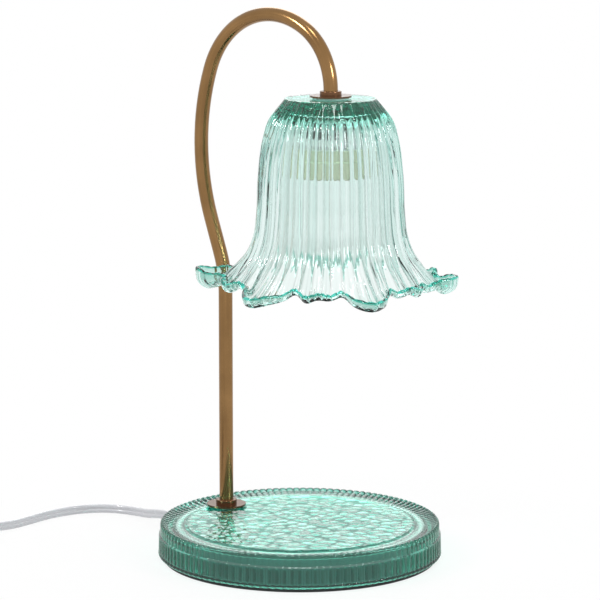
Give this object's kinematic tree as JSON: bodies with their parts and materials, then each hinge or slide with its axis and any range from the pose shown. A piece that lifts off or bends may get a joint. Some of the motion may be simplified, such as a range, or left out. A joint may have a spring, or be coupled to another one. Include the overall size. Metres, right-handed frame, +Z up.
{
  "type": "candle warmer lamp",
  "caption": "Candle warmer lamp: a fluted glass bell shade with a ruffled rim hangs from a bent brass tube over a ribbed glass base, on a flex with an in-line dimmer and a plug.",
  "frame": {"origin": "middle of the foot pad's underside", "axes": "+Z up, +X from the pole's side towards the side the shade hangs over, +Y to the left of +X"},
  "size_m": [0.2758, 0.3284, 0.3089],
  "materials": {
    "sea_glass": "pressed, ribbed and pebbled",
    "antique_brass": "satin, rubbed along the tube",
    "rose_copper": "satin",
    "zinc_steel": "zinc plated",
    "dark_steel": "blackened",
    "cream_ceramic": "glazed",
    "gasket_rubber": "soft, translucent white",
    "foot_foam": "matte",
    "clear_flex": "clear flexible vinyl over tinned cores",
    "lead_insulation": "smooth",
    "dimmer_plastic": "fine satin",
    "black_plastic": "matte",
    "circuit_board": "lacquered",
    "contact_brass": "polished"
  },
  "bodies": {
    "lamp": {"base_glass": "sea_glass", "shade_glass": "sea_glass", "arm_tube": "antique_brass", "base_washer": "rose_copper", "base_collar": "rose_copper", "shade_collar": "rose_copper", "shade_flange": "rose_copper", "holder_bracket": "zinc_steel", "base_inner_washer": "zinc_steel", "shade_washer": "zinc_steel", "holder_screws": "zinc_steel", "dimmer_screws": "zinc_steel", "base_nut": "dark_steel", "shade_nut": "dark_steel", "bracket_nut": "dark_steel", "lampholder": "cream_ceramic", "base_gasket": "gasket_rubber", "base_inner_gasket": "gasket_rubber", "shade_upper_gasket": "gasket_rubber", "shade_lower_gasket": "gasket_rubber", "foot_pad": "foot_foam", "cord_lead": "clear_flex", "cord_link": "clear_flex", "cord_coil": "clear_flex", "cord_tail": "clear_flex", "cord_gland": "clear_flex", "plug_body": "clear_flex", "arm_leads": "lead_insulation", "supply_leads": "lead_insulation", "dimmer_base": "dimmer_plastic", "dimmer_cover": "dimmer_plastic", "wire_connector": "dimmer_plastic", "dimmer_potentiometer": "black_plastic", "coil_tie": "black_plastic", "dimmer_board": "circuit_board", "holder_contacts": "contact_brass", "plug_blades": "contact_brass"},
    "dimmer_wheel_body": {"dimmer_wheel": "black_plastic", "dimmer_spindle": "contact_brass"}
  },
  "joints": [
    {"name": "dimmer_turn", "type": "hinge", "parent": "lamp", "child": "dimmer_wheel_body", "pos_m": [-0.1715, -0.134, 0.0126], "axis": [0, 0, 1], "range_deg": [0, 270]}
  ]
}
